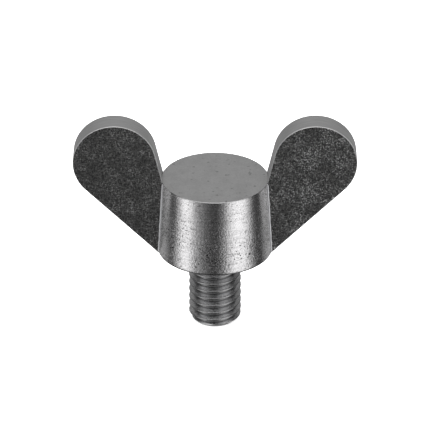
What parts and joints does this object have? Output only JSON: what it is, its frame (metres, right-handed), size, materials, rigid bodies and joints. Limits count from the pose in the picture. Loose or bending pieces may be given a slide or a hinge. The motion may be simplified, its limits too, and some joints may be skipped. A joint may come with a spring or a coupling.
{
  "type": "wing screw",
  "caption": "Thumb-driven screw: a tapered round hub with a flat rounded wing on each side and a right-hand threaded stud below.",
  "frame": {"origin": "centre of the hub's underside, on the thread axis", "axes": "+Z along the thread axis up through the hub, +X out through the right-hand wing, so the wings lie in the XZ plane and -Y faces the viewer"},
  "size_m": [0.0424, 0.0174, 0.0336],
  "materials": {
    "turned_steel": "satin, fine vertical pits and scuffs",
    "plate_steel": "dull, finely scratched on the faces, matte on the rims",
    "rolled_steel": "semi-bright rolled thread",
    "weld_steel": "bright narrow fillet"
  },
  "bodies": {
    "root": {"hub": "turned_steel", "wing_left": "plate_steel", "wing_right": "plate_steel", "threaded_stud": "rolled_steel", "weld_left_front": "weld_steel", "weld_left_back": "weld_steel", "weld_right_front": "weld_steel", "weld_right_back": "weld_steel"}
  },
  "joints": []
}
